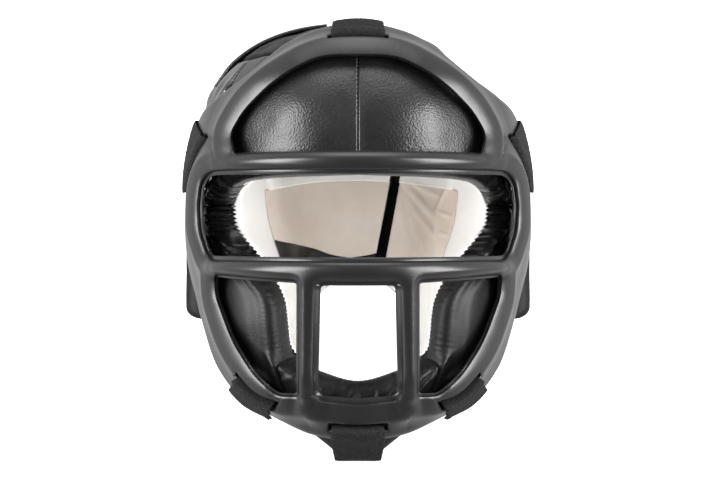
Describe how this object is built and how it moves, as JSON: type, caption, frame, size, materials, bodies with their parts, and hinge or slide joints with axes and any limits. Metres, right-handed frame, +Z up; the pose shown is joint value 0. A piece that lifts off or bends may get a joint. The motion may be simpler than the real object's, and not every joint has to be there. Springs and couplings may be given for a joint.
{
  "type": "sparring headgear with face mask",
  "caption": "Padded leather sparring headgear with a moulded plastic face cage on webbing straps, lined in pale cloth, with flaps that meet behind the head.",
  "frame": {"origin": "on the resting surface, under the middle of the headgear's box", "axes": "+X to the image's right as seen from the front, +Y from the face to the back, +Z up; the face looks along -Y and about 20 degrees up"},
  "size_m": [0.2352, 0.2756, 0.2533],
  "materials": {
    "mask_plastic": "satin black",
    "leather": "grained black",
    "webbing": "woven black",
    "white_lining": "soft white",
    "beige_lining": "soft beige"
  },
  "bodies": {
    "root": {"face_mask": "mask_plastic", "forehead_pad": "leather", "chin_pad": "leather", "crown_pad": "leather", "temple_pad_right": "leather", "temple_pad_left": "leather", "cheek_pad_right": "leather", "cheek_pad_left": "leather", "ear_pad_right": "leather", "ear_pad_left": "leather", "back_flap_right": "leather", "back_flap_left": "leather", "crown_strap": "leather", "rim_binding_right": "leather", "rim_binding_left": "leather", "forehead_lining": "white_lining", "chin_lining": "white_lining", "temple_lining_right": "white_lining", "temple_lining_left": "white_lining", "cheek_lining_right": "white_lining", "cheek_lining_left": "white_lining", "back_lining_right": "beige_lining", "back_lining_left": "beige_lining", "top_strap": "webbing", "temple_strap_right": "webbing", "temple_strap_left": "webbing", "jaw_strap_right": "webbing", "jaw_strap_left": "webbing", "chin_strap": "webbing", "back_strap": "webbing"}
  },
  "joints": []
}
